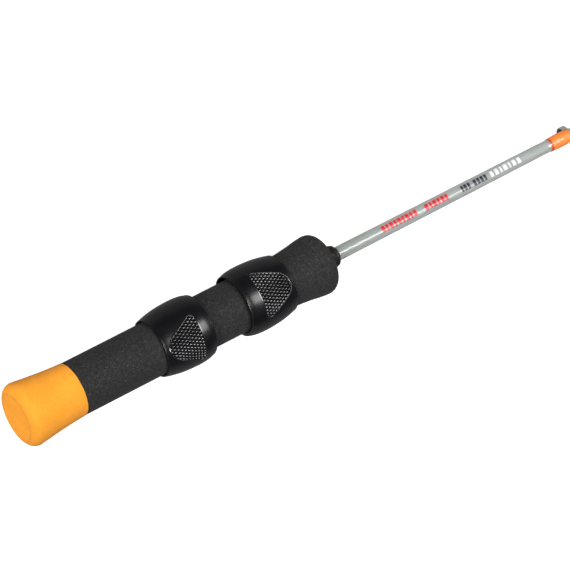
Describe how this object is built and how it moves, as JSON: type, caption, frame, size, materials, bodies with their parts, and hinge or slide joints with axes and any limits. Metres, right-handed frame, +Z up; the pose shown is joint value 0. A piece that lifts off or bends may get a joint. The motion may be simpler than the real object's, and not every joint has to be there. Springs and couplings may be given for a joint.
{
  "type": "ice fishing rod",
  "caption": "Short ice fishing rod: flared orange butt cap, straight foam grip, sliding reel rings with hooded pockets, tapered glass blank, wrapped line guides.",
  "frame": {"origin": "centre of the flat end of the butt cap, on the rod's axis", "axes": "+X along the rod towards the tip, +Z up with the line guides hanging towards -Z, +Y to the left of an angler looking along the rod"},
  "size_m": [0.58, 0.0319, 0.0318],
  "materials": {
    "cap_foam": "matte orange closed-cell foam",
    "grip_foam": "matte black closed-cell foam with a fine grain",
    "check_rubber": "matte black",
    "glass_blank": "gloss greenish grey solid glass rod",
    "glue": "cured epoxy",
    "ring_plastic": "satin black moulded plastic with textured pads",
    "guide_metal": "polished stamped steel",
    "guide_ceramic": "polished dark ceramic",
    "wrap_thread": "orange thread under clear coat",
    "trim_thread": "dark red thread under clear coat",
    "clear_coat": "clear gloss epoxy"
  },
  "bodies": {
    "rod": {"butt_cap": "cap_foam", "main_grip": "grip_foam", "winding_check": "check_rubber", "blank": "glass_blank", "grip_bond": "glue", "guide_1_frame": "guide_metal", "guide_1_insert": "guide_ceramic", "guide_1_wrap": "wrap_thread", "guide_1_trim": "trim_thread", "guide_1_finish": "clear_coat", "guide_2_frame": "guide_metal", "guide_2_insert": "guide_ceramic", "guide_2_wrap": "wrap_thread", "guide_2_trim": "trim_thread", "guide_2_finish": "clear_coat", "guide_3_frame": "guide_metal", "guide_3_insert": "guide_ceramic", "guide_3_wrap": "wrap_thread", "guide_3_trim": "trim_thread", "guide_3_finish": "clear_coat", "guide_4_frame": "guide_metal", "guide_4_insert": "guide_ceramic", "guide_4_wrap": "wrap_thread", "guide_4_trim": "trim_thread", "guide_4_finish": "clear_coat", "tip_top_frame": "guide_metal", "tip_top_insert": "guide_ceramic", "tip_top_wrap": "wrap_thread", "tip_top_trim": "trim_thread", "tip_top_finish": "clear_coat"},
    "rear_ring": {"rear_ring": "ring_plastic"},
    "front_ring": {"front_ring": "ring_plastic"}
  },
  "joints": [
    {"name": "rear_ring_slide", "type": "slide", "parent": "rod", "child": "rear_ring", "axis": [1, 0, 0], "range_m": [-0.04, 0.009]},
    {"name": "front_ring_slide", "type": "slide", "parent": "rod", "child": "front_ring", "axis": [1, 0, 0], "range_m": [-0.009, 0.001]}
  ]
}
